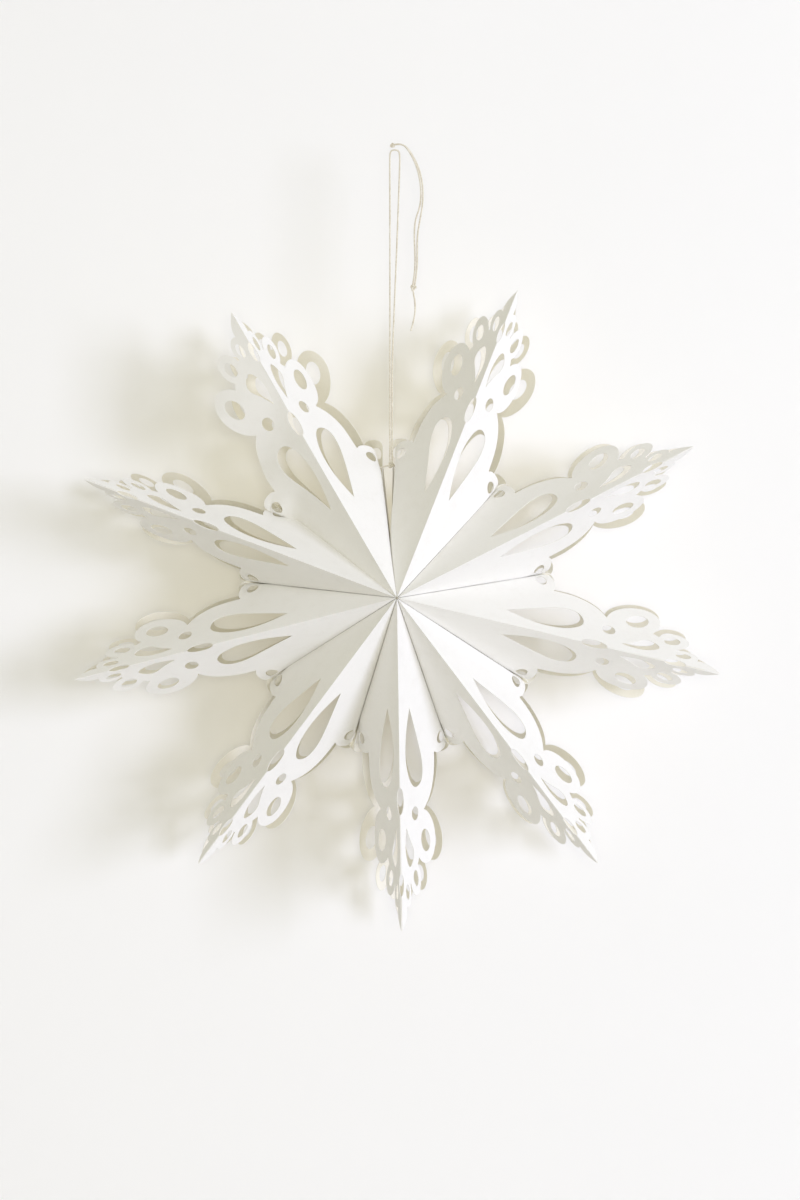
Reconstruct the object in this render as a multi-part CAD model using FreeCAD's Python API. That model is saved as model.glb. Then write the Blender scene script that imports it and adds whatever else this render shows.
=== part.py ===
"""Hanging paper snowflake star with nine cut-out points.

Each point is a flat paper tube.  Its fold ridges run from the hub to the tip, one in front and
one behind.  Every tube is glued to the next along a radial line, and the fan they make closes
into a star, tied across the top with thread.

Millimetres.  +Z is up and the front faces -Y.  The origin is the axis of the nail that the
thread hangs over.
"""
import FreeCAD, Part
import math
import os

os.makedirs("parts", exist_ok=True)
V = FreeCAD.Vector

# --- the star -------------------------------------------------------------------------------
HUB = V(1.5, 0.0, -306.0)       # centre of the star, below the nail
HUB_GAP = 2.0                   # the sheets stop this far from the hub's own axis
PAPER = 0.3                     # paper thickness
HALF_WIDTH = 61.0               # from a fold ridge to the middle of the flat tube
GLUE_REACH = 101.5              # length of the glued line, where the cut edge begins
POINT_LENGTH = 224.0            # from the hub to the tip, along a fold ridge
# Directions of the glued lines, in degrees anticlockwise from +X as seen from the front.
# The star was opened by hand, so the points are not quite even, and the top is left open.
VALLEYS = [97.0, 142.0, 173.7, 212.0, 252.8, 289.0, 327.1, 369.2, 407.2, 451.0]
POINTS = len(VALLEYS) - 1

# --- the cut pattern of one half panel: along the ridge, then away from it ------------------
LOBE_CENTRE, LOBE_RADIUS = (101.5, 51.5), 9.3
LOBE_HOLE_RADIUS = 4.0
SHOULDER = [(109.5, 45.0), (122.0, 44.8), (133.0, 42.0), (141.5, 37.0), (147.5, 30.5)]
BIG_LOOP = {"centre": (166.0, 32.0), "radii": (20.0, 13.5), "lean": 22.0}
MIDDLE_LOOP = {"centre": (193.5, 20.5), "radii": (11.5, 7.5), "lean": 20.0}
SMALL_LOOP = {"centre": (201.5, 8.0), "radii": (8.5, 5.5), "lean": 8.0}
BIG_LOOP_HOLE = {"centre": (169.0, 33.5), "radii": (8.4, 5.6), "lean": 24.0}
MIDDLE_LOOP_HOLE = {"centre": (193.5, 21.0), "radii": (5.8, 3.5), "lean": 20.0}
SMALL_LOOP_HOLE = {"centre": (200.5, 8.3), "radii": (5.0, 2.5), "lean": 8.0}
JUNCTION_HOLE = {"centre": (148.5, 18.8), "radii": (4.8, 4.4), "lean": 0.0}
FOLD_CUT = {"centre": (138.0, 0.0), "radii": (9.2, 4.2), "lean": 0.0}
UPPER_FOLD_CUT = {"centre": (195.0, 0.0), "radii": (7.0, 3.0), "lean": 0.0}
BIG_DROP = [
    (75.5, 13.0), (90.0, 9.0), (107.0, 7.5), (122.0, 11.0), (130.5, 19.5),
    (128.0, 27.0), (119.0, 29.5), (103.0, 24.8), (88.0, 18.4), (75.5, 13.0),
]
SMALL_DROP = [
    (157.0, 7.0), (166.0, 5.6), (176.0, 6.3), (184.5, 12.0),
    (177.5, 17.0), (167.0, 12.3), (157.0, 7.0),
]
SPIKE_EDGE = [(203.0, 4.0), (209.0, 6.4), (214.5, 6.2), (219.5, 3.6)]

# --- glue and thread ------------------------------------------------------------------------
GLUE_WIDTH = 3.0
GLUE_START, GLUE_END = 8.0, 97.0
GLUE_CLEARANCE = 0.05
THREAD = 1.2                    # thread diameter
NAIL_RADIUS = 2.8
TIE_RADIUS = 91.0               # where the end sheets are pierced for the tie
TIE_HOLE = 2.4
TIE_KNOT = V(-4.1, 0.0, 91.9)   # from the hub
TIE_KNOT_RADIUS = 2.1
TIE_KNOT_TOP = 1.5              # the strands meet the knot this far above its middle
TIE_STOP_RADIUS = 1.5
TIE_TAIL = 3.0                  # from each pierced sheet to its stop knot
STRANDS_MEET = 142.0            # below the nail, the two strands lie side by side
HITCH_KNOT = V(-1.6, 0.0, 6.8)
HITCH_KNOT_RADIUS = 1.6
TAIL_KNOT = V(12.8, -4.0, -91.9)
TAIL_KNOT_RADIUS = 1.9
TAIL_GAP = 0.7                  # half the spacing of the two tail strands
TAIL_TWIST = [90, 80, 50, 25, 0]  # direction of that spacing along the tail, degrees
TAIL_ROUTE = [                  # middle of the doubled tail, from the hitch to its knot
    V(5.2, -1.5, 9.2), V(12.8, -3.4, -1.4), V(17.2, -4.0, -12.5), V(18.9, -4.0, -24.0),
    V(18.4, -4.0, -35.5), V(15.6, -4.0, -45.5), V(14.4, -4.0, -56.5), V(14.8, -4.0, -69.5),
    V(14.6, -4.0, -81.0),
]
TAIL_SPREAD = {6: 1.7, 7: 1.0}  # the strands part for a moment here
TAIL_END_ROUTE = [
    V(14.2, -4.0, -102.0), V(13.9, -4.0, -112.0), V(11.1, -4.0, -121.6),
]


def export(name, shape):
    shape.exportStep("parts/" + name + ".step")


# --- flat pattern ---------------------------------------------------------------------------
def flat(point):
    return V(point[0], point[1], 0)


def face_of(edges):
    return Part.Face(Part.Wire(edges))


def ellipse(spec):
    along, across = spec["radii"]
    curve = Part.Ellipse(V(0, 0, 0), along, across)
    wire = Part.Wire(curve.toShape())
    wire.rotate(V(0, 0, 0), V(0, 0, 1), spec["lean"])
    wire.translate(flat(spec["centre"]))
    return Part.Face(wire)


def disc(centre, radius):
    return Part.Face(Part.Wire(Part.Circle(flat(centre), V(0, 0, 1), radius).toShape()))


def spline(points):
    curve = Part.BSplineCurve()
    curve.interpolate([flat(p) for p in points])
    return curve.toShape()


def polygon(points):
    return Part.Face(Part.makePolygon([flat(p) for p in points + points[:1]]))


def half_panel():
    """The flat cut shape from the fold ridge to the crease of the glued wing."""
    trunk_top = [(168.0, 31.0), (190.0, 20.0), (201.0, 7.0), (205.0, 0.0), (0.0, 0.0)]
    crease_end = (GLUE_REACH, HALF_WIDTH)
    chain = [SHOULDER[-1]] + trunk_top + [crease_end, SHOULDER[0]]
    edges = [Part.LineSegment(flat(a), flat(b)).toShape() for a, b in zip(chain, chain[1:])]
    trunk = face_of(edges + [spline(SHOULDER)])
    tip = (POINT_LENGTH, 0.0)
    spike_base = (200.0, 0.0)
    spike_edges = [
        spline(SPIKE_EDGE + [tip]),
        Part.LineSegment(flat(tip), flat(spike_base)).toShape(),
        Part.LineSegment(flat(spike_base), flat(SPIKE_EDGE[0])).toShape(),
    ]
    loops = [ellipse(BIG_LOOP), ellipse(MIDDLE_LOOP), ellipse(SMALL_LOOP)]
    outline = trunk.multiFuse(loops + [face_of(spike_edges), disc(LOBE_CENTRE, LOBE_RADIUS)])
    holes = [ellipse(spec) for spec in (
        BIG_LOOP_HOLE, MIDDLE_LOOP_HOLE, SMALL_LOOP_HOLE, JUNCTION_HOLE, FOLD_CUT,
        UPPER_FOLD_CUT,
    )]
    holes += [face_of([spline(BIG_DROP)]), face_of([spline(SMALL_DROP)])]
    holes.append(disc(LOBE_CENTRE, LOBE_HOLE_RADIUS))
    beyond = 40.0
    crease = polygon([
        (0.0, 0.0), (GLUE_REACH, HALF_WIDTH), (GLUE_REACH, HALF_WIDTH + beyond),
        (-beyond, HALF_WIDTH + beyond), (-beyond, 0.0),
    ])
    under_ridge = polygon([
        (-beyond, 0.0), (POINT_LENGTH + beyond, 0.0), (POINT_LENGTH + beyond, -beyond),
        (-beyond, -beyond),
    ])
    return outline.cut(holes + [crease, under_ridge]).removeSplitter()


# --- one point of the star ------------------------------------------------------------------
def panel_frame(half_angle):
    """Ridge direction and panel direction of the front panel on the +X side of a point."""
    apex = V(0, -HALF_WIDTH, 0)
    reach = GLUE_REACH * math.cos(half_angle)
    lift = math.atan2(HALF_WIDTH, reach) - math.acos(GLUE_REACH / math.hypot(HALF_WIDTH, reach))
    ridge = V(0, math.sin(lift), math.cos(lift))
    glue_end = V(GLUE_REACH * math.sin(half_angle), 0, reach)
    across = (glue_end - apex - ridge * GLUE_REACH) * (1.0 / HALF_WIDTH)
    return apex, ridge, across, glue_end


def panel(pattern, half_angle):
    """The front panel on the +X side, thickened outwards."""
    apex, ridge, across, _ = panel_frame(half_angle)
    inward = ridge.cross(across)
    solid = pattern.extrude(V(0, 0, -PAPER))
    matrix = FreeCAD.Matrix(
        ridge.x, across.x, inward.x, apex.x,
        ridge.y, across.y, inward.y, apex.y,
        ridge.z, across.z, inward.z, apex.z,
        0, 0, 0, 1,
    )
    solid.transformShape(matrix)
    return solid


def wing(half_angle, pierced):
    """The triangle that is glued to the next point, on the +X side, thickened outwards."""
    apex, _, _, glue_end = panel_frame(half_angle)
    corners = [apex, glue_end, V(0, HALF_WIDTH, 0), apex]
    outward = V(math.cos(half_angle), 0, -math.sin(half_angle))
    solid = Part.Face(Part.makePolygon(corners)).extrude(outward * PAPER)
    if pierced:
        reach = TIE_RADIUS - HUB_GAP * math.cos(half_angle)
        centre = V(reach * math.sin(half_angle), 0, reach * math.cos(half_angle))
        drill = Part.makeCylinder(TIE_HOLE / 2, 8.0, centre - outward * 4.0, outward)
        solid = solid.cut(drill)
    return solid


def stand_up(shape, direction):
    """Turn a point that is modelled along +Z to its direction, and move it to the hub."""
    placed = shape.copy()
    placed.translate(V(0, 0, HUB_GAP))
    placed.rotate(V(0, 0, 0), V(0, 1, 0), 90.0 - direction)
    placed.translate(HUB)
    return placed


def star_point(pattern, index):
    start, end = VALLEYS[index], VALLEYS[index + 1]
    half_angle = math.radians(end - start) / 2
    front_right = panel(pattern, half_angle)
    front_left = front_right.mirror(V(0, 0, 0), V(1, 0, 0))
    back_right = front_right.mirror(V(0, 0, 0), V(0, 1, 0))
    back_left = front_left.mirror(V(0, 0, 0), V(0, 1, 0))
    right_wing = wing(half_angle, pierced=index == 0)
    left_wing = wing(half_angle, pierced=index == POINTS - 1).mirror(V(0, 0, 0), V(1, 0, 0))
    pieces = [front_right, front_left, back_right, back_left, right_wing, left_wing]
    return Part.Compound([stand_up(piece, (start + end) / 2) for piece in pieces])


def glue_strip(index):
    """The dried glue between a point and the next one, along the line where they meet."""
    own_end = VALLEYS[index + 1]
    own_half = math.radians(own_end - VALLEYS[index]) / 2
    next_half = math.radians(VALLEYS[index + 2] - own_end) / 2
    own_side = HUB_GAP * math.sin(own_half) - PAPER
    next_side = HUB_GAP * math.sin(next_half) - PAPER - GLUE_CLEARANCE
    strip = Part.makeBox(
        own_side + next_side, GLUE_WIDTH, GLUE_END - GLUE_START,
        V(-next_side, -GLUE_WIDTH / 2, GLUE_START),
    )
    strip.rotate(V(0, 0, 0), V(0, 1, 0), 90.0 - own_end)
    strip.translate(HUB)
    return strip


# --- thread ---------------------------------------------------------------------------------
def rounded_path(points, radii=None):
    """Straight runs joined by tangent arcs, each arc as large as its two runs allow."""
    edges = []
    at = points[0]
    for n in range(1, len(points) - 1):
        before, corner, after = points[n - 1], points[n], points[n + 1]
        back = (before - corner).normalize()
        on = (after - corner).normalize()
        turn = math.pi - back.getAngle(on)
        run = min(before.distanceToPoint(corner), after.distanceToPoint(corner))
        radius = radii[n - 1] if radii else 0.45 * run / math.tan(turn / 2)
        trim = radius * math.tan(turn / 2)
        first, last = corner + back * trim, corner + on * trim
        middle_way = (back + on).normalize()
        centre = corner + middle_way * math.hypot(radius, trim)
        edges.append(Part.LineSegment(at, first).toShape())
        edges.append(Part.Arc(first, centre - middle_way * radius, last).toShape())
        print("radius %.1f mm" % radius)
        at = last
    edges.append(Part.LineSegment(at, points[-1]).toShape())
    return Part.Wire(edges)


def thread_along(points, name, radii=None):
    path = rounded_path(points, radii)
    start = points[0]
    direction = (points[1] - start).normalize()
    ring = Part.Wire(Part.Circle(start, direction, THREAD / 2).toShape())
    tube = path.makePipeShell([ring], True, False)
    expected = math.pi * (THREAD / 2) ** 2 * path.Length
    print("%s: length %.1f mm, volume ratio %.4f" % (name, path.Length, tube.Volume / expected))
    return tube


def knot(centre, radius, stretch=1.0):
    ball = Part.makeSphere(radius, V(0, 0, 0))
    if stretch != 1.0:
        matrix = FreeCAD.Matrix()
        matrix.scale(1.0, 1.0, stretch)
        ball = ball.transformGeometry(matrix)
    ball.translate(centre)
    return ball


def hanging_thread():
    """Both strands, from the tie knot up over the nail and down again."""
    tie = HUB + TIE_KNOT
    around = NAIL_RADIUS + THREAD / 2
    side = 0.75
    bottom = tie.z + TIE_KNOT_TOP
    points = [
        V(tie.x - side, 0, bottom), V(tie.x - side, 0, -STRANDS_MEET),
        V(-around - 0.05, 0, around), V(around + 0.05, 0, around),
        V(tie.x + side, 0, -STRANDS_MEET), V(tie.x + side, 0, bottom),
    ]
    radii = [300.0, around - 0.05, around - 0.05, 300.0]
    return thread_along(points, "hanging_thread", radii)


def tie_knot(tie):
    """A ball with a flat top, where the two strands stand on it."""
    centre = HUB + TIE_KNOT
    size = 4 * TIE_KNOT_RADIUS
    above = Part.makeBox(size, size, size, centre + V(-size / 2, -size / 2, TIE_KNOT_TOP))
    return knot(centre, TIE_KNOT_RADIUS).cut([above, tie])


def tie_route():
    """Through the first sheet, the tie knot and the last sheet."""
    route = []
    for side, valley in ((-1, VALLEYS[0]), (1, VALLEYS[-1])):
        angle = math.radians(valley)
        hole = HUB + V(math.cos(angle), 0, math.sin(angle)) * TIE_RADIUS
        route.append(hole + V(side * TIE_TAIL, 0, -1.0))
    return [route[0], HUB + TIE_KNOT, route[1]]


def tail_strand(side):
    """One of the two strands; they turn from front-and-back to side by side as they fall."""
    points = []
    for n, point in enumerate([HITCH_KNOT] + TAIL_ROUTE + [TAIL_KNOT]):
        turn = math.radians(TAIL_TWIST[min(n, len(TAIL_TWIST) - 1)])
        spacing = TAIL_SPREAD.get(n, TAIL_GAP)
        points.append(point + V(math.cos(turn), math.sin(turn), 0) * (side * spacing))
    return thread_along(points, "tail_strand")


pattern = half_panel()
for index in range(POINTS):
    export("star_point_%d" % (index + 1), star_point(pattern, index))
for index in range(POINTS - 1):
    export("glue_strip_%d" % (index + 1), glue_strip(index))

strands = hanging_thread()
tie = thread_along(tie_route(), "tie_thread", [12.0])
export("hanging_thread", strands)
export("tie_thread", tie)
export("tie_knot", tie_knot(tie))
stops = [knot(end, TIE_STOP_RADIUS).cut(tie) for end in (tie_route()[0], tie_route()[2])]
export("tie_stop_knots", Part.Compound(stops))

tail = [tail_strand(-1), tail_strand(1)]
tail_end = thread_along([TAIL_KNOT + V(0.6, 0, -1.0)] + TAIL_END_ROUTE, "tail_end")
export("tail_strand_left", tail[0])
export("tail_strand_right", tail[1])
export("tail_end", tail_end)
export("hitch_knot", knot(HITCH_KNOT, HITCH_KNOT_RADIUS).cut(tail))
export("tail_knot", knot(TAIL_KNOT, TAIL_KNOT_RADIUS, 1.25).cut(tail + [tail_end]))
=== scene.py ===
"""Hanging paper snowflake star: fine meshes, materials, thread, camera and light."""
import math
import random

import bpy
import numpy as np
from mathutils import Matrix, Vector
from mathutils.geometry import delaunay_2d_cdt


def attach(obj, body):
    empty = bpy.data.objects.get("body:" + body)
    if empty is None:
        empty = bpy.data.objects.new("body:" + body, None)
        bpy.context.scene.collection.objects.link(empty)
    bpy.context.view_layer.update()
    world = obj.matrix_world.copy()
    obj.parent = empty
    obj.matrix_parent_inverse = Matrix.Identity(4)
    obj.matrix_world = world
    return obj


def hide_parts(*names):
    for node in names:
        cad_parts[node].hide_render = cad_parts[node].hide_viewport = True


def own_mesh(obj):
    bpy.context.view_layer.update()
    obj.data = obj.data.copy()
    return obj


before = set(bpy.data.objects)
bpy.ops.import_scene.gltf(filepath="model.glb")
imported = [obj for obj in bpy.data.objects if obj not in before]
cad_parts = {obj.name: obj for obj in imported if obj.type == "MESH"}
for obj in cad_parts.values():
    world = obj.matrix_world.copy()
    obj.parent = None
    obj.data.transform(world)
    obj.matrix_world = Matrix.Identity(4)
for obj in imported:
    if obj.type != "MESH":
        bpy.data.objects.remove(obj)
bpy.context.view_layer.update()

MM = 0.001
rng = random.Random(7)

# --- the star, in millimetres, as in the CAD part -------------------------------------------
HUB = np.array([1.5, 0.0, -306.0])
HUB_GAP = 0.6
PAPER = 0.34
HALF_WIDTH = 61.0
GLUE_REACH = 101.5
POINT_LENGTH = 224.0
VALLEYS = [97.0, 142.0, 173.7, 212.0, 252.8, 289.0, 327.1, 369.2, 407.2, 451.0]
POINTS = len(VALLEYS) - 1
CREASE = math.atan2(HALF_WIDTH, GLUE_REACH)
BEND_IN, BEND_OUT = math.radians(7.5), math.radians(0.35)

# How the opened sheets lie, in degrees.  Each point sags a little where it stands out sideways.
# Each panel splays at its loops by its usual angle and a small amount of its own, and by half of
# that at the trunk.  Four panels beside the open top stand out wider.
FRONT, BACK = -1, 1
LEFT, RIGHT = 0, 1
SAG = {FRONT: 1.4, BACK: 0.7}
SPLAY = {(FRONT, LEFT): 0, (FRONT, RIGHT): -6, (BACK, LEFT): 5, (BACK, RIGHT): 5}
WIDE_SPLAY = {
    (0, FRONT, LEFT): 30, (0, BACK, RIGHT): 15, (8, BACK, LEFT): 15, (8, BACK, RIGHT): 15,
}
OWN_SPLAY = 4.0
TRUNK_SHARE = 0.5
TIP_STRETCH = 3.0
LAST_SHEET_BOW = 4.2
TIE_RADIUS = 91.0
TIE_TAIL = 3.0

LOBE_CENTRE, LOBE_RADIUS = (101.5, 51.5), 9.3
LOBE_HOLE_RADIUS = 4.0
SHOULDER = [(109.5, 45.0), (122.0, 44.8), (133.0, 42.0), (141.5, 37.0), (147.5, 30.5)]
LOOPS = [(166.0, 32.0, 20.0, 13.5, 22.0), (193.5, 20.5, 11.5, 7.5, 20.0),
         (201.5, 8.0, 8.5, 5.5, 8.0)]
OVAL_HOLES = [
    (169.0, 33.5, 8.4, 5.6, 24.0), (193.5, 21.0, 5.8, 3.5, 20.0), (200.5, 8.3, 5.0, 2.5, 8.0),
    (148.5, 18.8, 4.8, 4.4, 0.0), (138.0, 0.0, 9.2, 4.2, 0.0), (195.0, 0.0, 7.0, 3.0, 0.0),
]
BIG_DROP = [
    (75.5, 13.0), (90.0, 9.0), (107.0, 7.5), (122.0, 11.0), (130.5, 19.5),
    (128.0, 27.0), (119.0, 29.5), (103.0, 24.8), (88.0, 18.4), (75.5, 13.0),
]
SMALL_DROP = [
    (157.0, 7.0), (166.0, 5.6), (176.0, 6.3), (184.5, 12.0),
    (177.5, 17.0), (167.0, 12.3), (157.0, 7.0),
]
SPIKE_EDGE = [(203.0, 4.0), (209.0, 6.4), (214.5, 6.2), (219.5, 3.6)]


# --- flat pattern of a quarter sheet --------------------------------------------------------
def spline(points, step=1.6):
    """A smooth line through the points (natural cubic, by chord length)."""
    p = np.array(points, float)
    t = np.concatenate([[0], np.cumsum(np.linalg.norm(np.diff(p, axis=0), axis=1))])
    n = len(p)
    h = np.diff(t)
    a = np.eye(n)
    r = np.zeros((n, 2))
    for i in range(1, n - 1):
        a[i, i - 1:i + 2] = h[i - 1], 2 * (h[i - 1] + h[i]), h[i]
        r[i] = 6 * ((p[i + 1] - p[i]) / h[i] - (p[i] - p[i - 1]) / h[i - 1])
    m = np.linalg.solve(a, r)
    at = np.linspace(0, t[-1], max(3, int(round(t[-1] / step)) + 1))
    k = np.clip(np.searchsorted(t, at, side="right") - 1, 0, n - 2)
    left, right, hk = (at - t[k])[:, None], (t[k + 1] - at)[:, None], h[k][:, None]
    return (m[k] * right ** 3 + m[k + 1] * left ** 3) / (6 * hk) \
        + (p[k] / hk - m[k] * hk / 6) * right + (p[k + 1] / hk - m[k + 1] * hk / 6) * left


def oval(u, v, along, across, lean, count=None):
    count = count or max(20, int(2 * math.pi * max(along, across) / 1.3))
    a = np.linspace(0, 2 * math.pi, count, endpoint=False)
    c, s = math.cos(math.radians(lean)), math.sin(math.radians(lean))
    x, y = along * np.cos(a), across * np.sin(a)
    return np.stack([u + c * x - s * y, v + s * x + c * y], axis=1)


def line(a, b, step=3.0):
    a, b = np.array(a, float), np.array(b, float)
    n = max(1, int(round(np.linalg.norm(b - a) / step)))
    return a + (b - a) * np.linspace(0, 1, n + 1)[:, None]


def inside(points, polygon):
    """Which points lie inside a closed polygon."""
    x, y = points[:, 0][:, None], points[:, 1][:, None]
    ax, ay = polygon[:, 0], polygon[:, 1]
    bx, by = np.roll(ax, -1), np.roll(ay, -1)
    with np.errstate(divide="ignore", invalid="ignore"):
        cross = (ay > y) != (by > y)
        at = (bx - ax) * (y - ay) / (by - ay) + ax
    return (np.sum(cross & (x < at), axis=1) % 2).astype(bool)


def quarter_sheet(grid=3.0):
    """Triangles of the cut sheet from a fold ridge (v = 0) to the middle of the tube."""
    shoulder = spline(SHOULDER)
    trunk = np.concatenate([
        shoulder,
        line(shoulder[-1], (168, 31)), line((168, 31), (190, 20)), line((190, 20), (201, 7)),
        line((201, 7), (205, 0)), [(0, 0)], [(GLUE_REACH, HALF_WIDTH)],
    ])
    tip = (POINT_LENGTH, 0.0)
    spike = np.concatenate([spline(SPIKE_EDGE + [tip], 1.0), [(200.0, 0.0)]])
    wing = np.array([(0, 0), (GLUE_REACH, HALF_WIDTH), (0, HALF_WIDTH)], float)
    solids = [trunk, spike, wing, oval(*LOBE_CENTRE, LOBE_RADIUS, LOBE_RADIUS, 0)]
    solids += [oval(*loop) for loop in LOOPS]
    holes = [oval(*hole) for hole in OVAL_HOLES]
    holes += [spline(BIG_DROP)[:-1], spline(SMALL_DROP)[:-1]]
    holes.append(oval(*LOBE_CENTRE, LOBE_HOLE_RADIUS, LOBE_HOLE_RADIUS, 0))

    chains = [(np.concatenate([c, c[:1]])) for c in solids + holes]
    chains.append(line((0, 0), (POINT_LENGTH, 0)))
    chains.append(line((0, 0), (0, HALF_WIDTH)))
    chains.append(line((0, HALF_WIDTH), (GLUE_REACH, HALF_WIDTH)))
    points, edges = [], []
    for chain in chains:
        start = len(points)
        points += chain.tolist()
        edges += [(start + i, start + i + 1) for i in range(len(chain) - 1)]
    a = np.concatenate([c[:-1] for c in chains])
    b = np.concatenate([c[1:] for c in chains])

    rows = []
    for j, v in enumerate(np.arange(grid * 0.5, HALF_WIDTH, grid * 0.866)):
        u = np.arange(grid * (0.5 if j % 2 else 1.0), POINT_LENGTH, grid)
        rows.append(np.stack([u, np.full_like(u, v)], axis=1))
    free = np.concatenate(rows)
    turn = np.arctan2(free[:, 1], free[:, 0])
    free = free[(turn < CREASE - BEND_IN * 1.2) | (turn > CREASE + BEND_OUT * 1.2)]
    rays = []
    for turn in np.linspace(CREASE - BEND_IN * 1.1, CREASE + BEND_OUT * 1.1, 11):
        r = np.arange(5.0, 125.0, grid)
        rays.append(np.stack([r * math.cos(turn), r * math.sin(turn)], axis=1))
    free = np.concatenate([free] + rays)
    free = free[(free[:, 1] < HALF_WIDTH - 0.8) & (free[:, 1] > 0.8) & (free[:, 0] > 0.8)]
    ab = b - a
    t = np.clip(((free[:, None] - a) * ab).sum(-1) / np.maximum((ab ** 2).sum(-1), 1e-9), 0, 1)
    gap = np.linalg.norm(free[:, None] - (a + t[..., None] * ab), axis=-1).min(axis=1)
    free = free[gap > 0.9]
    points += free.tolist()
    co, _, faces, _, _, _ = delaunay_2d_cdt(
        [Vector(p) for p in points], edges, [], 0, 1e-4)
    co = np.array([tuple(c) for c in co])
    faces = np.array(faces)
    middle = co[faces].mean(axis=1)
    keep = np.zeros(len(faces), bool)
    for polygon in solids:
        keep |= inside(middle, polygon)
    for polygon in holes:
        keep &= ~inside(middle, polygon)
    keep &= middle[:, 1] > 0
    faces = faces[keep]
    used = np.unique(faces)
    back = np.full(len(co), -1)
    back[used] = np.arange(len(used))
    co, faces = co[used], back[faces]
    e1, e2 = co[faces[:, 1]] - co[faces[:, 0]], co[faces[:, 2]] - co[faces[:, 0]]
    wrong = e1[:, 0] * e2[:, 1] - e1[:, 1] * e2[:, 0] < 0
    faces[wrong] = faces[wrong][:, ::-1]
    return co, faces


def smooth_step(x, low, high):
    t = np.clip((x - low) / (high - low), 0, 1)
    return t * t * (3 - 2 * t)


def unit(v):
    return v / np.linalg.norm(v, axis=-1, keepdims=True)


def bend_sheet(flat, half_angle, side, layer, lean, splay, bow, seed):
    """Where the points of a flat quarter sheet lie on a point of the star that stands along +Z.

    side is +1 or -1 for the right or left half, layer -1 or +1 for the front or the back.
    """
    u, v = flat[:, 0], flat[:, 1]
    u = u + TIP_STRETCH * smooth_step(u, 190, POINT_LENGTH)
    turn, reach = np.arctan2(v, u), np.hypot(u, v)
    out = GLUE_REACH * math.cos(half_angle)
    lift = math.atan2(HALF_WIDTH, out) - math.acos(GLUE_REACH / math.hypot(HALF_WIDTH, out))
    ridge = np.array([0, math.sin(lift), math.cos(lift)])
    apex = np.array([0, -HALF_WIDTH, 0])
    glue_end = np.array([GLUE_REACH * math.sin(half_angle), 0, out])
    across = (glue_end - apex - ridge * GLUE_REACH) / HALF_WIDTH
    outward = np.cross(across, ridge)

    def on_panel(a):
        return np.cos(a)[:, None] * ridge + np.sin(a)[:, None] * across

    def on_wing(a):
        c = np.cos(a)
        return np.stack([c * math.sin(half_angle), np.sin(a), c * math.cos(half_angle)], 1)

    low, high = CREASE - BEND_IN, CREASE + BEND_OUT
    s = np.clip((turn - low) / (high - low), 0, 1)[:, None]
    ones = np.ones_like(turn)
    corner = on_panel(ones * CREASE)
    bent = (1 - s) ** 2 * on_panel(ones * low) + 2 * s * (1 - s) * corner \
        + s ** 2 * on_wing(ones * high)
    way = np.where(s <= 0, on_panel(turn), np.where(s >= 1, on_wing(turn), unit(bent)))
    place = apex + reach[:, None] * way

    glued = smooth_step(turn, CREASE - 0.35, CREASE) * (1 - smooth_step(reach, 98, 112))
    trunk_part = smooth_step(u, 70, 122) * (1 - glued)
    loop_part = smooth_step(u, 125, 172)
    angle = np.radians(splay * (TRUNK_SHARE * trunk_part * (1 - loop_part) + loop_part))
    axis_part = u[:, None] * ridge + apex
    arm = v[:, None] * across
    swung = axis_part + np.cos(angle)[:, None] * arm \
        + np.sin(angle)[:, None] * v[:, None] * outward
    place = swung + (place - axis_part - arm)

    r = random.Random(seed)
    curl = r.uniform(-1.2, 1.6)
    wave, phase = r.uniform(0.5, 1.1), r.uniform(0, 6.28)
    lacy = smooth_step(u, 100, 215)
    ripple = curl * (v / 40) ** 2 + wave * np.sin(u / 19.0 + phase) * np.minimum(v / 16, 1) \
        + 0.45 * np.sin(v / 6.5 + phase * 2)
    place = place + (ripple * lacy)[:, None] * outward
    bulge = np.sin(np.clip(turn / CREASE, 0, 1) * math.pi) * smooth_step(u, 15, 70) \
        * (1 - smooth_step(u, 95, 150))
    place = place + (r.uniform(0.3, 1.3) * bulge)[:, None] * outward
    near_edge = np.clip(turn / CREASE, 0, 1) ** 2
    place[:, 0] += bow * near_edge * np.sin(np.pi * np.clip(reach / TIE_RADIUS, 0, 1))
    shift = math.tan(math.radians(lean)) * u * np.clip(1 - turn / CREASE, 0, 1)
    place[:, 0] = place[:, 0] * side - shift
    place[:, 1] *= -layer
    return place


def quarter(flat, index, layer, n):
    """One of the four quarter sheets of a point: FRONT or BACK layer, LEFT or RIGHT half n."""
    start, end = math.radians(VALLEYS[index]), math.radians(VALLEYS[index + 1])
    lean = -SAG[layer] * math.cos((start + end) / 2)
    seed = 100 * index + 10 * n + layer
    own = random.Random(seed + 1000).uniform(-OWN_SPLAY, OWN_SPLAY)
    splay = WIDE_SPLAY.get((index, layer, n), SPLAY[layer, n]) + own
    bow = LAST_SHEET_BOW if (index, n) == (POINTS - 1, LEFT) else 0.0
    return bend_sheet(flat, (end - start) / 2, (-1, 1)[n], layer, lean, splay, bow, seed)


def make_mesh(name, verts, faces, materials, material_index=None, smooth=True, sharp=35):
    mesh = bpy.data.meshes.new(name)
    mesh.from_pydata([tuple(v) for v in verts], [], [tuple(f) for f in faces])
    for material in materials:
        mesh.materials.append(material)
    if material_index is not None:
        mesh.polygons.foreach_set("material_index", np.array(material_index, np.int32))
    if smooth:
        mesh.polygons.foreach_set("use_smooth", np.ones(len(mesh.polygons), bool))
        mesh.set_sharp_from_angle(angle=math.radians(sharp))
    mesh.update()
    obj = bpy.data.objects.new(name, mesh)
    bpy.context.scene.collection.objects.link(obj)
    return obj


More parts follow.
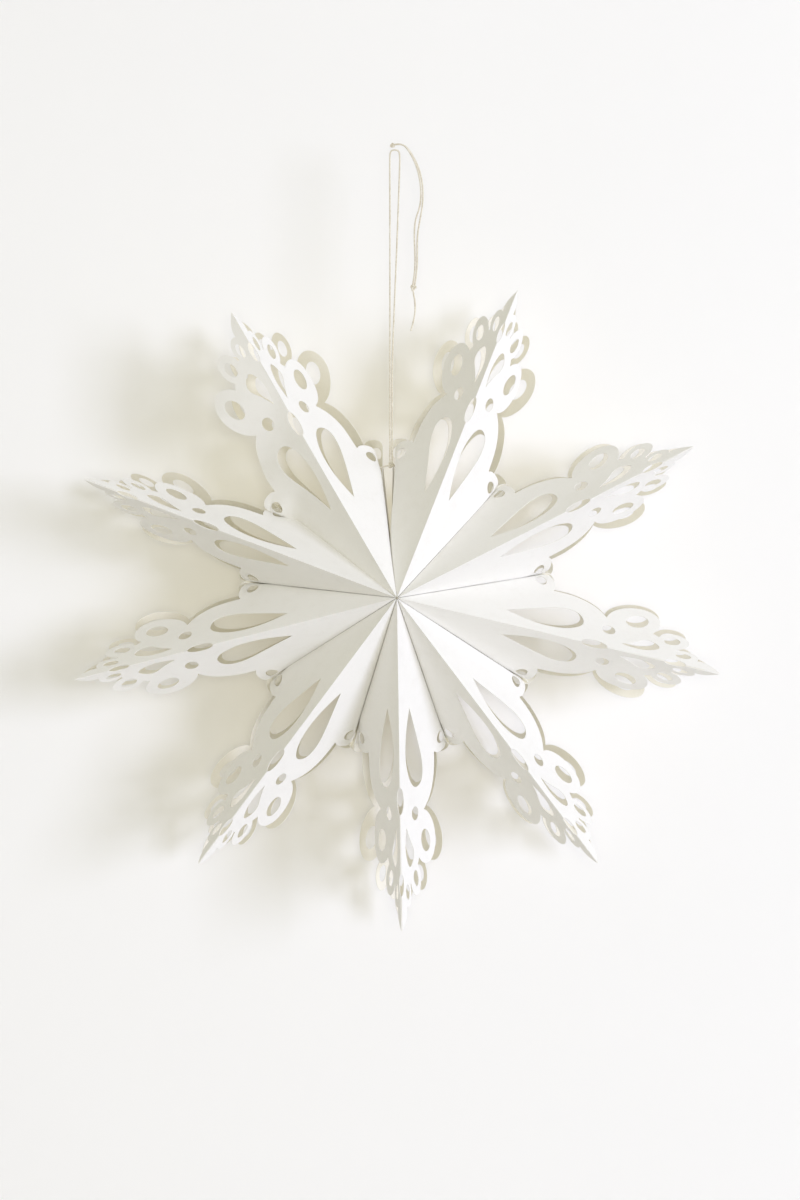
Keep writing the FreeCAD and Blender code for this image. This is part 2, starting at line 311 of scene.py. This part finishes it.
def to_world(place, direction):
    """From a point that stands along +Z to its direction round the hub, in metres."""
    a = math.radians(direction)
    side = np.array([math.sin(a), 0, -math.cos(a)])
    radial = np.array([math.cos(a), 0, math.sin(a)])
    depth = np.array([0, 1, 0])
    world = HUB + place[:, :1] * side + place[:, 1:2] * depth \
        + (place[:, 2:] + HUB_GAP) * radial
    return world * MM


def thicken(verts, faces, thickness):
    """Both sides of a sheet and the cut edge between them; (verts, faces, which)."""
    normal = np.zeros_like(verts)
    a, b, c = (verts[faces[:, k]] for k in range(3))
    face_normal = np.cross(b - a, c - a)
    for k in range(3):
        np.add.at(normal, faces[:, k], face_normal)
    normal = unit(normal)
    n = len(verts)
    both = np.concatenate([verts + normal * thickness / 2, verts - normal * thickness / 2])
    edges = np.concatenate([faces[:, [0, 1]], faces[:, [1, 2]], faces[:, [2, 0]]])
    key = np.sort(edges, axis=1)
    _, first, count = np.unique(key, axis=0, return_index=True, return_counts=True)
    rim = edges[first[count == 1]]
    quads = [(j, i, i + n, j + n) for i, j in rim.tolist()]
    sheets = [tuple(f) for f in faces.tolist()] \
        + [(k + n, j + n, i + n) for i, j, k in faces.tolist()]
    # Slot 0 for the outside and the cut edge, slot 1 for the inside faces, which get the paper
    # with the painted warm glow.
    which = [0] * len(faces) + [1] * len(faces) + [0] * len(quads)
    return both, sheets + quads, which


# --- materials ------------------------------------------------------------------------------
def new_material(name, colour, roughness):
    material = bpy.data.materials.new(name)
    material.use_nodes = True
    nodes, links = material.node_tree.nodes, material.node_tree.links
    shader = nodes["Principled BSDF"]
    shader.inputs["Base Color"].default_value = (*colour, 1)
    shader.inputs["Roughness"].default_value = roughness
    return material, nodes, links, shader


def noise(nodes, links, scale, detail=4.0, rough=0.55, stretch=None):
    place = nodes.new("ShaderNodeTexCoord")
    texture = nodes.new("ShaderNodeTexNoise")
    texture.inputs["Scale"].default_value = scale
    texture.inputs["Detail"].default_value = detail
    texture.inputs["Roughness"].default_value = rough
    if stretch:
        mapping = nodes.new("ShaderNodeMapping")
        mapping.inputs["Rotation"].default_value = stretch[0]
        mapping.inputs["Scale"].default_value = stretch[1]
        links.new(place.outputs["Object"], mapping.inputs["Vector"])
        links.new(mapping.outputs["Vector"], texture.inputs["Vector"])
    else:
        links.new(place.outputs["Object"], texture.inputs["Vector"])
    return texture.outputs["Fac"]


def ramp(nodes, links, source, stops):
    node = nodes.new("ShaderNodeValToRGB")
    elements = node.color_ramp.elements
    while len(elements) < len(stops):
        elements.new(0.5)
    for element, (at, colour) in zip(elements, stops):
        element.position = at
        element.color = (*colour, 1)
    links.new(source, node.inputs["Fac"])
    return node.outputs["Color"]


def add(nodes, links, a, b, weight):
    node = nodes.new("ShaderNodeMath")
    node.operation = "MULTIPLY_ADD"
    links.new(b, node.inputs[0])
    node.inputs[1].default_value = weight
    links.new(a, node.inputs[2])
    return node.outputs[0]


def bump(nodes, links, shader, height, distance, strength):
    node = nodes.new("ShaderNodeBump")
    node.inputs["Distance"].default_value = distance
    node.inputs["Strength"].default_value = strength
    links.new(height, node.inputs["Height"])
    links.new(node.outputs["Normal"], shader.inputs["Normal"])


def paper_material(name, light, dark):
    """Matt white paper: faint clouding, felt-like grain and short fibres in two directions."""
    material, nodes, links, shader = new_material(name, light, 0.78)
    cloud = noise(nodes, links, 95.0, 6.0, 0.6)
    fibre = noise(nodes, links, 900.0, 3.0, 0.6, ((0.3, 0.9, 0.2), (1.0, 1.0, 0.16)))
    cross = noise(nodes, links, 900.0, 3.0, 0.6, ((0.8, 0.1, 1.1), (0.16, 1.0, 1.0)))
    grain = noise(nodes, links, 2600.0, 2.0, 0.5)
    mottle = add(nodes, links, cloud, fibre, 0.55)
    mottle = add(nodes, links, mottle, cross, 0.45)
    colour = ramp(nodes, links, mottle, [(0.72, dark), (1.22, light)])
    links.new(colour, shader.inputs["Base Color"])
    rough = ramp(nodes, links, grain, [(0.3, (0.7,) * 3), (0.75, (0.88,) * 3)])
    links.new(rough, shader.inputs["Roughness"])
    height = add(nodes, links, grain, fibre, 1.3)
    height = add(nodes, links, height, cross, 1.3)
    height = add(nodes, links, height, cloud, 2.0)
    bump(nodes, links, shader, height, 0.00002, 0.5)
    shader.inputs["Specular IOR Level"].default_value = 0.25
    return material


def thread_material():
    """Natural cotton: warm beige plies, darker in the twist, with loose fuzz."""
    material, nodes, links, shader = new_material("cotton_thread", (0.79, 0.75, 0.64), 0.85)
    tone = noise(nodes, links, 1400.0, 4.0, 0.65)
    length = noise(nodes, links, 160.0, 2.0, 0.5)
    mixed = add(nodes, links, tone, length, 0.5)
    colour = ramp(nodes, links, mixed, [
        (0.55, (0.62, 0.56, 0.44)), (0.8, (0.79, 0.75, 0.64)), (1.1, (0.89, 0.86, 0.78))])
    links.new(colour, shader.inputs["Base Color"])
    fuzz = noise(nodes, links, 7000.0, 3.0, 0.6, ((0.5, 0.2, 0.0), (1.0, 1.0, 0.3)))
    bump(nodes, links, shader, fuzz, 0.0001, 0.7)
    shader.inputs["Sheen Weight"].default_value = 0.25
    shader.inputs["Sheen Roughness"].default_value = 0.5
    return material


def glue_material():
    material, nodes, links, shader = new_material("dried_glue", (0.82, 0.78, 0.66), 0.4)
    tone = noise(nodes, links, 240.0, 4.0, 0.6)
    colour = ramp(nodes, links, tone, [(0.3, (0.74, 0.68, 0.52)), (0.7, (0.86, 0.82, 0.71))])
    links.new(colour, shader.inputs["Base Color"])
    bump(nodes, links, shader, tone, 0.0002, 0.5)
    return material


PAPER_FRONT = paper_material("white_paper", (0.9, 0.893, 0.865), (0.875, 0.865, 0.833))
# The inside faces are the same paper as the outside, coloured warmer and creamier: a painted warm
# glow standing in for light bounced between the sheets and passing through the paper in the
# pockets.
PAPER_INSIDE_PAINTED_GLOW = paper_material("white_paper_inside_painted_glow", (0.92, 0.895, 0.8), (0.895, 0.865, 0.76))
THREAD_MATERIAL = thread_material()
GLUE_MATERIAL = glue_material()


# --- paper points and glue ------------------------------------------------------------------
def on_body(obj, body, nodes):
    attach(obj, body)
    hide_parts(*nodes)


def flatten(obj):
    """Gives the object its own copy of its mesh data."""
    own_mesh(obj)


def weld(verts, faces, near=2e-6):
    key = np.round(verts / near).astype(np.int64)
    _, first, back = np.unique(key, axis=0, return_index=True, return_inverse=True)
    faces = back.reshape(-1)[faces]
    good = (faces[:, 0] != faces[:, 1]) & (faces[:, 1] != faces[:, 2]) \
        & (faces[:, 2] != faces[:, 0])
    return verts[first], faces[good]


def paper_point(index, flat, triangles):
    start, end = VALLEYS[index], VALLEYS[index + 1]
    verts, faces = [], []
    for layer in (-1, 1):
        for n, side in enumerate((-1, 1)):
            turned = triangles if side * layer > 0 else triangles[:, ::-1]
            faces.append(turned + sum(len(v) for v in verts))
            verts.append(to_world(quarter(flat, index, layer, n), (start + end) / 2))
    verts, faces = weld(np.concatenate(verts), np.concatenate(faces))
    both, sheets, which = thicken(verts, faces, PAPER * MM)
    obj = make_mesh("paper_point_%d" % (index + 1), both, sheets,
                    [PAPER_FRONT, PAPER_INSIDE_PAINTED_GLOW], which)
    on_body(obj, "point_%d" % (index + 1), ["star_point_%d" % (index + 1)])
    flatten(obj)
    return obj


def glue_line(index):
    """A thin uneven run of dried glue between two sheets."""
    end = VALLEYS[index + 1]
    a = math.radians(end)
    radial = np.array([math.cos(a), 0, math.sin(a)])
    side = np.array([math.sin(a), 0, -math.cos(a)])
    verts, faces = [], []
    ring = 8
    stations = np.linspace(8.5, 96.5, 60)
    for r in stations:
        wide = 1.15 + 0.25 * math.sin(r * 0.9 + index) + 0.15 * rng.uniform(-1, 1)
        thick = 0.03
        for k in range(ring):
            t = 2 * math.pi * k / ring
            verts.append((HUB + radial * r + side * thick * math.sin(t)
                          + np.array([0, wide * math.cos(t), 0])) * MM)
    for i in range(len(stations) - 1):
        for k in range(ring):
            n = (k + 1) % ring
            faces.append((i * ring + k, i * ring + n, (i + 1) * ring + n, (i + 1) * ring + k))
    faces.append(tuple(reversed(range(ring))))
    faces.append(tuple((len(stations) - 1) * ring + k for k in range(ring)))
    obj = make_mesh("glue_line_%d" % (index + 1), verts, faces, [GLUE_MATERIAL], sharp=60)
    on_body(obj, "point_%d" % (index + 1), ["glue_strip_%d" % (index + 1)])
    flatten(obj)


flat, triangles = quarter_sheet()
for index in range(POINTS):
    paper_point(index, flat, triangles)
for index in range(POINTS - 1):
    glue_line(index)


# --- thread ---------------------------------------------------------------------------------
THREAD = 1.2
NAIL_RADIUS = 2.8
TIE_KNOT = HUB + np.array([-4.1, 0.0, 91.9])
HITCH_KNOT = np.array([-1.6, 0.0, 6.8])
TAIL_KNOT = np.array([12.8, -4.0, -91.9])


def smooth_line(name, route, spacing=0.4):
    """Points read off the NURBS spline whose control points are the route."""
    curve = bpy.data.curves.new(name, "CURVE")
    curve.dimensions = "3D"
    curve.resolution_u = 24
    strand = curve.splines.new("NURBS")
    strand.points.add(len(route) - 1)
    for point, place in zip(strand.points, route):
        point.co = (*(np.array(place) * MM), 1)
    strand.order_u = 3
    strand.use_endpoint_u = True
    obj = bpy.data.objects.new(name, curve)
    mesh = bpy.data.meshes.new_from_object(obj)
    line_points = np.array([tuple(v.co) for v in mesh.vertices]) / MM
    bpy.data.meshes.remove(mesh)
    bpy.data.objects.remove(obj)
    bpy.data.curves.remove(curve)
    walked = np.concatenate([[0], np.cumsum(np.linalg.norm(np.diff(line_points, axis=0), axis=1))])
    at = np.linspace(0, walked[-1], max(8, int(walked[-1] / spacing)))
    even = np.stack([np.interp(at, walked, line_points[:, k]) for k in range(3)], axis=1)
    return even, walked[-1]


def yarn(name, points, radius, plies=2, pitch=3.4, ring=14):
    """A twisted thread along the points: lobed plies that turn as they go."""
    points = np.array(points)
    along = unit(np.gradient(points, axis=0))
    up = np.array([0.0, 1.0, 0.0])
    if abs(along[0] @ up) > 0.9:
        up = np.array([1.0, 0.0, 0.0])
    frames = []
    for direction in along:
        up = up - direction * (up @ direction)
        up = up / np.linalg.norm(up)
        frames.append((up, np.cross(direction, up)))
    walked = np.concatenate([[0], np.cumsum(np.linalg.norm(np.diff(points, axis=0), axis=1))])
    verts, faces = [], []
    for n, (place, (e1, e2)) in enumerate(zip(points, frames)):
        twist = 2 * math.pi * walked[n] / pitch
        for k in range(ring):
            t = 2 * math.pi * k / ring
            lobe = 0.8 + 0.2 * abs(math.cos(plies * (t - twist) / 2)) ** 0.7
            size = radius * lobe
            verts.append((place + size * (math.cos(t) * e1 + math.sin(t) * e2)) * MM)
    count = len(points)
    for i in range(count - 1):
        for k in range(ring):
            n = (k + 1) % ring
            faces.append((i * ring + k, i * ring + n, (i + 1) * ring + n, (i + 1) * ring + k))
    faces.append(tuple(reversed(range(ring))))
    faces.append(tuple((count - 1) * ring + k for k in range(ring)))
    return make_mesh(name, verts, faces, [THREAD_MATERIAL], sharp=75)


def cord(name, route, body, nodes):
    points, length = smooth_line(name, route)
    obj = yarn(name, points, THREAD / 2)
    on_body(obj, body, nodes)


def knot(name, centre, size, node, body, turn=0.0, tall=1.0):
    """A thread pulled into an overhand knot."""
    count = 90
    t = np.linspace(0, 2 * math.pi, count, endpoint=False)
    x = np.sin(t) + 2 * np.sin(2 * t)
    z = np.cos(t) - 2 * np.cos(2 * t)
    y = -np.sin(3 * t) * 1.1
    path = np.stack([x, y, z], axis=1) / 3.0
    c, s = math.cos(turn), math.sin(turn)
    spin = np.array([[c, 0, s], [0, 1, 0], [-s, 0, c]])
    path = (path * np.array([1.0, 1.0, tall])) @ spin.T
    path = centre + path * (size - 0.55)
    path = np.concatenate([path, path[:1]])
    obj = yarn(name, path, 0.62, pitch=2.6)
    on_body(obj, body, [node])
    return obj


TAIL_ROUTE = [
    (5.2, -1.5, 9.2), (12.8, -3.4, -1.4), (17.2, -4.0, -12.5), (18.9, -4.0, -24.0),
    (18.4, -4.0, -35.5), (15.6, -4.0, -45.5), (14.4, -4.0, -56.5), (14.8, -4.0, -69.5),
    (14.6, -4.0, -81.0),
]
TAIL_END_ROUTE = [(14.2, -4.0, -102.0), (13.9, -4.0, -112.0), (11.1, -4.0, -121.6)]
TAIL_TWIST = [90, 80, 50, 25, 0]
TAIL_SPREAD = {6: 1.7, 7: 1.0}
TAIL_GAP = 0.7


def tail_route(side):
    route = []
    for n, place in enumerate([HITCH_KNOT] + TAIL_ROUTE + [TAIL_KNOT]):
        a = math.radians(TAIL_TWIST[min(n, len(TAIL_TWIST) - 1)])
        spacing = TAIL_SPREAD.get(n, TAIL_GAP) * side
        route.append(np.array(place) + np.array([math.cos(a), math.sin(a), 0]) * spacing)
    return route


around = NAIL_RADIUS + THREAD / 2
bottom = TIE_KNOT[2] + 1.5
side = 0.75
hanging_route = [
    (TIE_KNOT[0] - side, 0, bottom), (TIE_KNOT[0] - side, 0, bottom + 35),
    (TIE_KNOT[0] - side, 0, -142), (-3.28, 0, -60), (-around - 0.05, 0, -8),
    (-around - 0.05, 0, 1.0), (-around * 0.72, 0, around * 0.95),
    (0, 0, around * 1.12), (around * 0.72, 0, around * 0.95),
    (around + 0.05, 0, 1.0), (around + 0.05, 0, -8), (1.55, 0, -60),
    (TIE_KNOT[0] + side, 0, -142), (TIE_KNOT[0] + side, 0, bottom + 35),
    (TIE_KNOT[0] + side, 0, bottom),
]
knot("overhand_tie_knot", TIE_KNOT, 2.3, "tie_knot", "tie", 0.5)
knot("overhand_hitch_knot", HITCH_KNOT, 1.9, "hitch_knot", "tail", 1.2)
tail_knot = knot("overhand_tail_knot", TAIL_KNOT, 2.3, "tail_knot", "tail", 0.2, 1.1)
cord("hanging_loop", hanging_route, "hanging_thread", ["hanging_thread"])
first, last = math.radians(VALLEYS[0]), math.radians(VALLEYS[-1])
left_hole = HUB + TIE_RADIUS * np.array([math.cos(first), 0, math.sin(first)])
right_hole = HUB + TIE_RADIUS * np.array([math.cos(last), 0, math.sin(last)])
left_end, right_end = left_hole + (-TIE_TAIL, 0, -1.0), right_hole + (TIE_TAIL, 0, -1.0)
tie_line, _ = smooth_line("tie", [left_end, TIE_KNOT + (-4.5, 0, -0.9), TIE_KNOT,
                                  TIE_KNOT + (2.5, 0, -0.5), right_end])
on_body(yarn("tie", tie_line, THREAD / 2), "tie", ["tie_thread"])
for n, place in enumerate((left_end, right_end)):
    knot("stop_knot_%d" % (n + 1), place, 1.7, "tie_stop_knots", "tie", 0.9 * n)
cord("tail_with_end", tail_route(-1) + [np.array(p) for p in TAIL_END_ROUTE], "tail",
     ["tail_strand_left", "tail_end"])
cord("tail_short", tail_route(1), "tail", ["tail_strand_right"])


# --- room, camera and light -----------------------------------------------------------------
def stage_plane(name, corners, colour, one_sided=False):
    material, nodes, links, shader = new_material(name, colour, 0.9)
    tone = noise(nodes, links, 3.0, 3.0, 0.5)
    plaster = ramp(nodes, links, tone, [(0.3, tuple(c * 0.985 for c in colour)), (0.7, colour)])
    links.new(plaster, shader.inputs["Base Color"])
    if one_sided:
        clear = nodes.new("ShaderNodeBsdfTransparent")
        mix = nodes.new("ShaderNodeMixShader")
        back = nodes.new("ShaderNodeNewGeometry")
        links.new(back.outputs["Backfacing"], mix.inputs[0])
        links.new(shader.outputs[0], mix.inputs[1])
        links.new(clear.outputs[0], mix.inputs[2])
        links.new(mix.outputs[0], nodes["Material Output"].inputs["Surface"])
    obj = make_mesh(name, corners, [(0, 1, 2, 3)], [material], smooth=False)
    return obj


WALL_Y = 0.0665
FLOOR_Z = -1.35
wall = stage_plane("plain_wall", [(-3, WALL_Y, FLOOR_Z), (3, WALL_Y, FLOOR_Z), (3, WALL_Y, 2.2),
                                  (-3, WALL_Y, 2.2)], (0.95, 0.95, 0.95), one_sided=True)
wall.visible_shadow = False      # so the light behind it reaches the back of the star
stage_plane("plain_floor", [(-4, -4, FLOOR_Z), (4, -4, FLOOR_Z), (4, 4, FLOOR_Z),
                            (-4, 4, FLOOR_Z)], (0.62, 0.61, 0.6))

world = bpy.data.worlds.new("soft_daylight")
bpy.context.scene.world = world
world.use_nodes = True
world.node_tree.nodes["Background"].inputs["Color"].default_value = (1.0, 0.977, 0.835, 1)
world.node_tree.nodes["Background"].inputs["Strength"].default_value = 0.555


def area_light(name, place, target, size, energy, colour):
    light = bpy.data.lights.new(name, "AREA")
    light.shape = "RECTANGLE"
    light.size, light.size_y = size
    light.energy = energy
    light.color = colour
    obj = bpy.data.objects.new(name, light)
    obj.location = place
    obj.visible_camera = False
    obj.rotation_euler = (Vector(target) - Vector(place)).to_track_quat("-Z", "Y").to_euler()
    bpy.context.scene.collection.objects.link(obj)
    return obj


area_light("window", (4.2, -4.2, 0.1), (0, 0, -0.3), (1.8, 1.8), 184.0, (0.76, 0.79, 1.0))
area_light("room_bounce", (0.1, -3.6, -0.3), (0, 0, -0.3), (0.6, 0.6), 20.0, (1.0, 0.965, 0.81))
area_light("behind", (-0.5, 2.4, 0.1), (0, 0, -0.3), (1.2, 1.2), 18.0, (1.0, 0.84, 0.46))

CAMERA_AWAY = 2.5
camera = bpy.data.cameras.new("camera")
camera.lens = 108.5
camera.sensor_width = 36.0
camera_obj = bpy.data.objects.new("camera", camera)
camera_obj.location = (0.00357, -CAMERA_AWAY, -0.3074)
camera_obj.rotation_euler = (math.radians(90), 0, 0)
bpy.context.scene.collection.objects.link(camera_obj)
bpy.context.scene.camera = camera_obj
bpy.context.scene.view_settings.view_transform = "Standard"
